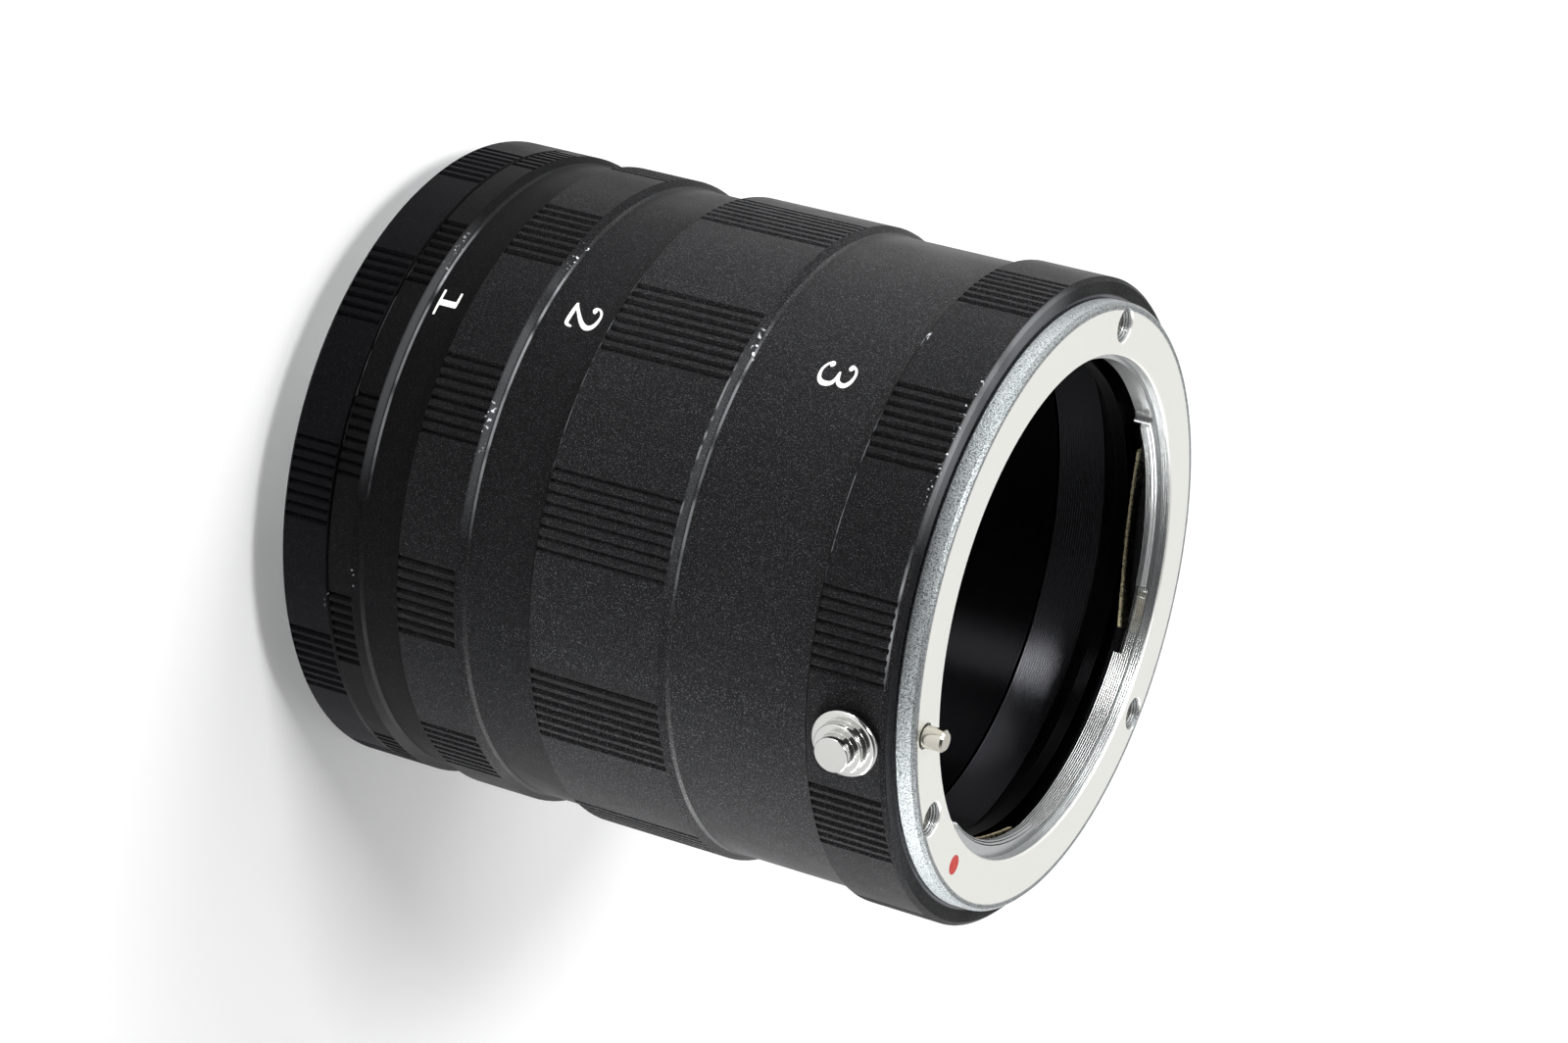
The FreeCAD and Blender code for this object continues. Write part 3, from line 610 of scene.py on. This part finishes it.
# Engraved and painted numerals 1 to 3, old-style figures with ball ends, wrapped round the plain stretches.
# A place is an azimuth in degrees and a height; a stroke is its centre points (across, up, width).
# Lengths are in millimetres.
numerals = {
    "proud": 0.02,
    "sunk": 0.05,
    "layer": 0.002,
    "samples": 10,
    "roundEnd": 0.1,
    "roundSteps": 4,
    "places": {"1": (-145.9, 13.66), "2": (-149.5, 27.18), "3": (-150.8, 52.53)},
    "strokes": {
        "1": [[(-1.02, 1.08, 0.2), (-0.6, 1.08, 0.22), (-0.05, 1.08, 0.26)],
              [(0.23, 1.1, 0.62), (0.23, 0.25, 0.62), (0.23, -0.66, 0.62)],
              [(-1.02, -0.66, 0.22), (0.25, -0.66, 0.24), (1.5, -0.66, 0.22)]],
        "2": [[(-1.12, 0.72, 0.26), (-0.94, 0.7, 0.44), (-0.78, 0.74, 0.44), (-0.64, 0.78, 0.26)],
              [(-1.12, 0.74, 0.2), (-1.1, 1.04, 0.2), (-0.8, 1.4, 0.22), (-0.23, 1.56, 0.24),
               (0.54, 1.42, 0.36), (0.98, 1.06, 0.5), (1.02, 0.58, 0.52), (0.62, 0.02, 0.42),
               (-0.18, -0.64, 0.32), (-1.0, -1.22, 0.28)],
              [(-1.18, -1.26, 0.26), (-0.68, -1.28, 0.36), (0.17, -1.33, 0.4), (0.9, -1.36, 0.38)],
              [(0.96, -1.36, 0.36), (1.16, -1.14, 0.3), (1.25, -0.78, 0.2)]],
        "3": [[(-1.1, 1.0, 0.26), (-0.92, 0.98, 0.44), (-0.76, 0.96, 0.46), (-0.62, 0.96, 0.28)],
              [(-1.08, 1.04, 0.2), (-0.8, 1.42, 0.22), (-0.23, 1.62, 0.24), (0.5, 1.52, 0.34),
               (1.0, 1.18, 0.46), (1.06, 0.74, 0.48), (0.7, 0.32, 0.34), (-0.14, 0.14, 0.2)],
              [(0.0, 0.12, 0.2), (0.6, 0.05, 0.26), (1.06, -0.16, 0.4), (1.25, -0.58, 0.52),
               (1.18, -1.08, 0.5), (0.74, -1.48, 0.34), (-0.03, -1.58, 0.24), (-0.64, -1.36, 0.24),
               (-0.98, -1.0, 0.26)],
              [(-1.06, -0.92, 0.28), (-0.92, -0.88, 0.46), (-0.76, -0.9, 0.46), (-0.62, -0.94, 0.26)]],
    },
}


# A smooth curve through the points; the place counts points and parts of the way to the next.
def curvePoint(points, place):
    last = len(points) - 1
    index = min(int(place), last - 1)
    share = place - index
    chosen = [points[max(0, min(last, index + shift))] for shift in (-1, 0, 1, 2)]
    values = []
    for before, start, end, after in zip(*chosen):
        values.append(0.5 * (2 * start + (end - before) * share
                             + (2 * before - 5 * start + 4 * end - after) * share ** 2
                             + (3 * start - before - 3 * end + after) * share ** 3))
    return values


def roundedEnd(side, direction):
    middle = (side[0] + side[1]) / 2
    half = (side[0] - side[1]) / 2
    rows = []
    for step in range(1, numerals["roundSteps"]):
        angle = math.pi / 2 * step / numerals["roundSteps"]
        spot = middle + direction * numerals["roundEnd"] * math.sin(angle)
        rows.append((spot + half * math.cos(angle), spot - half * math.cos(angle)))
    return rows


def strokeOutline(points):
    count = (len(points) - 1) * numerals["samples"]
    middle = [curvePoint(points, (len(points) - 1) * step / count) for step in range(count + 1)]
    sides = []
    directions = []
    for index, (across, up, width) in enumerate(middle):
        ahead = middle[min(index + 1, count)]
        behind = middle[max(index - 1, 0)]
        direction = Vector((ahead[0] - behind[0], ahead[1] - behind[1])).normalized()
        offset = Vector((-direction.y, direction.x)) * width / 2
        directions.append(direction)
        sides.append((Vector((across, up)) + offset, Vector((across, up)) - offset))
    start = roundedEnd(sides[0], -directions[0])
    return start[::-1] + sides + roundedEnd(sides[-1], directions[-1])


def numeral(text, body, material):
    angle, height = numerals["places"][text]
    vertices = []
    faces = []
    for layer, points in enumerate(numerals["strokes"][text]):
        first = len(vertices)
        sides = strokeOutline(points)
        lower = sizes["plainRadius"] - numerals["sunk"]
        upper = sizes["plainRadius"] + numerals["proud"] + layer * numerals["layer"]
        for left, right in sides:
            for radius in (lower, upper):
                for corner in (left, right):
                    turn = math.radians(angle) + corner.x / sizes["plainRadius"]
                    vertices.append((radius * math.cos(turn) * mm, radius * math.sin(turn) * mm,
                                     (height + corner.y) * mm))
        # Each row has four corners: lower left and right, then upper left and right.
        for index in range(len(sides) - 1):
            here = first + 4 * index
            there = here + 4
            for one, two in ((0, 1), (1, 3), (3, 2), (2, 0)):
                faces.append((here + one, here + two, there + two, there + one))
        faces.append((first, first + 2, first + 3, first + 1))
        end = first + 4 * (len(sides) - 1)
        faces.append((end, end + 1, end + 3, end + 2))
    piece = newPiece(f"numeral_{text}", vertices, faces, material, smoothFaces=False)
    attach(piece, body)


numeralPaint = paint("white_numeral_paint")
for text, body in (("1", "short_tube"), ("2", "middle_tube"), ("3", "long_tube")):
    numeral(text, body, numeralPaint)
print("numerals painted")

# Camera, as fitted to the photograph: distances in millimetres, angles in degrees.
view = {
    "azimuth": -121.0,
    "fromAxis": 63.73,
    "pivot": 33.77,
    "distance": 404.0,
    "aimUp": 39.0,
    "aimAside": -1.18,
    "roll": 104.99,
    "lens": 99.35,
    "sensor": 36.0,
    "clipStart": 10.0,
}


def towards(azimuth, elevation):
    azimuth = math.radians(azimuth)
    elevation = math.radians(elevation)
    return Vector((math.cos(elevation) * math.cos(azimuth), math.cos(elevation) * math.sin(azimuth),
                   math.sin(elevation)))


def placeCamera(outward):
    azimuth = math.radians(view["azimuth"])
    spot = Vector((0, 0, view["pivot"])) + outward * view["distance"]
    sideways = Vector((-math.sin(azimuth), math.cos(azimuth), 0))
    aim = Vector((0, 0, view["aimUp"])) + sideways * view["aimAside"]
    forward = (aim - spot).normalized()
    level = (Vector((0, 0, 1)) - forward * forward.z).normalized()
    aside = forward.cross(level)
    roll = math.radians(view["roll"])
    right = aside * math.cos(roll) + level * math.sin(roll)
    up = level * math.cos(roll) - aside * math.sin(roll)
    data = bpy.data.cameras.new("camera")
    data.lens = view["lens"]
    data.sensor_width = view["sensor"]
    data.clip_start = view["clipStart"] * mm
    camera = bpy.data.objects.new("camera", data)
    scene.collection.objects.link(camera)
    rows = [(right[i], up[i], -forward[i], spot[i] * mm) for i in range(3)]
    camera.matrix_world = Matrix([*rows, (0, 0, 0, 1)])
    scene.camera = camera


toCamera = towards(view["azimuth"], 90 - view["fromAxis"])
placeCamera(toCamera)
print("camera placed")

# Studio: white table, white surround that darkens behind the camera, two high soft boxes and two low strips.
# Lengths are in metres, angles in degrees. The table is a matt sheet that curves up far behind the object.
# Its glow is a distance from the object and a strength, and keeps the far table white. The surround darkens
# between two cosines of the angle to the camera's direction.
studio = {
    "floor": "#f2f2f2",
    "floorRough": 0.9,
    "segments": 96,
    "sweepAt": 2.4,
    "sweepRadius": 0.6,
    "sweepTop": 1.0,
    "sweepSteps": 12,
    "glowNear": (0.1, 0.12),
    "glowFar": (0.6, 0.55),
    "surround": 0.95,
    "darkRoom": 0.08,
    "darkRange": (0.0, 0.75),
    "lamps": {
        "key_box": {"azimuth": -158.0, "elevation": 58.0, "distance": 0.8, "size": (0.18, 0.18),
                    "power": 3.4, "lightsTable": True},
        "high_box": {"azimuth": 149.0, "elevation": 57.0, "distance": 0.8, "size": (0.3, 0.3),
                     "power": 1.2, "lightsTable": True},
        "upper_strip": {"azimuth": 155.0, "elevation": 5.0, "distance": 0.5, "size": (0.6, 0.08),
                        "power": 3.5, "lightsTable": True},
        "lower_strip": {"azimuth": -24.0, "elevation": 5.0, "distance": 0.5, "size": (0.6, 0.08),
                        "power": 8.0, "lightsTable": False},
    },
}
white = (1, 1, 1, 1)


# The glow is for the eye and for mirroring metal only, and sheds no light on the object.
def tablePaint():
    material, tree = newMaterial("white_table")
    radius = axisPlace(tree)[2]
    path = addNode(tree, "ShaderNodeLightPath")
    mirrored = (path["Is Camera Ray"], path["Is Glossy Ray"])
    seen = addNode(tree, mathNode, mirrored, operation="MAXIMUM")[0]
    seen = addNode(tree, mathNode, (seen, path["Is Transmission Ray"]), operation="MAXIMUM")[0]
    (nearAt, nearGlow), (farAt, farGlow) = studio["glowNear"], studio["glowFar"]
    glow = addNode(tree, mapRange, (radius, nearAt, farAt, nearGlow, farGlow), **smooth)[0]
    glow = addNode(tree, mathNode, (seen, glow), operation="MULTIPLY")[0]
    addSurface(tree, {"Base Color": linear(studio["floor"]), "Roughness": studio["floorRough"],
                      "Specular IOR Level": 0.0, "Emission Color": white, "Emission Strength": glow})
    return material


def tablePoint(across, along, up):
    return (across, along, up)


def makeTable():
    edge = studio["sweepAt"]
    bend = studio["sweepRadius"]
    profile = [(edge + bend, studio["sweepTop"])]
    for step in range(studio["sweepSteps"] + 1):
        angle = math.pi / 2 * step / studio["sweepSteps"]
        profile.append((edge + bend * math.cos(angle), bend - bend * math.sin(angle)))
    profile.append((0.0, 0.0))
    floor = lathe("table", profile, studio["segments"], tablePaint(), tablePoint)
    return floor


def makeSurround():
    world = bpy.data.worlds.new("white_surround")
    scene.world = world
    world.use_nodes = True
    tree = world.node_tree
    tree.nodes.clear()
    looking = addNode(tree, "ShaderNodeTexCoord")["Generated"]
    behind = addNode(tree, vectorMath, (looking, toCamera), operation="DOT_PRODUCT")["Value"]
    strengths = (studio["surround"], studio["darkRoom"])
    strength = addNode(tree, mapRange, (behind, *studio["darkRange"], *strengths), **smooth)[0]
    sky = addNode(tree, "ShaderNodeBackground", {"Color": white, "Strength": strength})[0]
    addNode(tree, "ShaderNodeOutputWorld", {"Surface": sky})


def makeLamps(floor):
    # The low strip stands for a reflector beside the object, so it lights the object and not the table.
    withoutTable = bpy.data.collections.new("lit_by_low_strip")
    withoutTable.objects.link(floor)
    withoutTable.collection_objects[0].light_linking.link_state = "EXCLUDE"
    centre = Vector((0, 0, view["pivot"] * mm))
    for name, lamp in studio["lamps"].items():
        outward = towards(lamp["azimuth"], lamp["elevation"])
        data = bpy.data.lights.new(name, "AREA")
        data.shape = "RECTANGLE"
        data.size, data.size_y = lamp["size"]
        data.energy = lamp["power"]
        light = bpy.data.objects.new(name, data)
        light.location = centre + outward * lamp["distance"]
        light.rotation_euler = outward.to_track_quat("Z", "Y").to_euler()
        light.visible_camera = False
        if not lamp["lightsTable"]:
            light.light_linking.receiver_collection = withoutTable
        scene.collection.objects.link(light)


table = makeTable()
makeSurround()
makeLamps(table)
scene.view_settings.view_transform = "Standard"
print("studio lit")
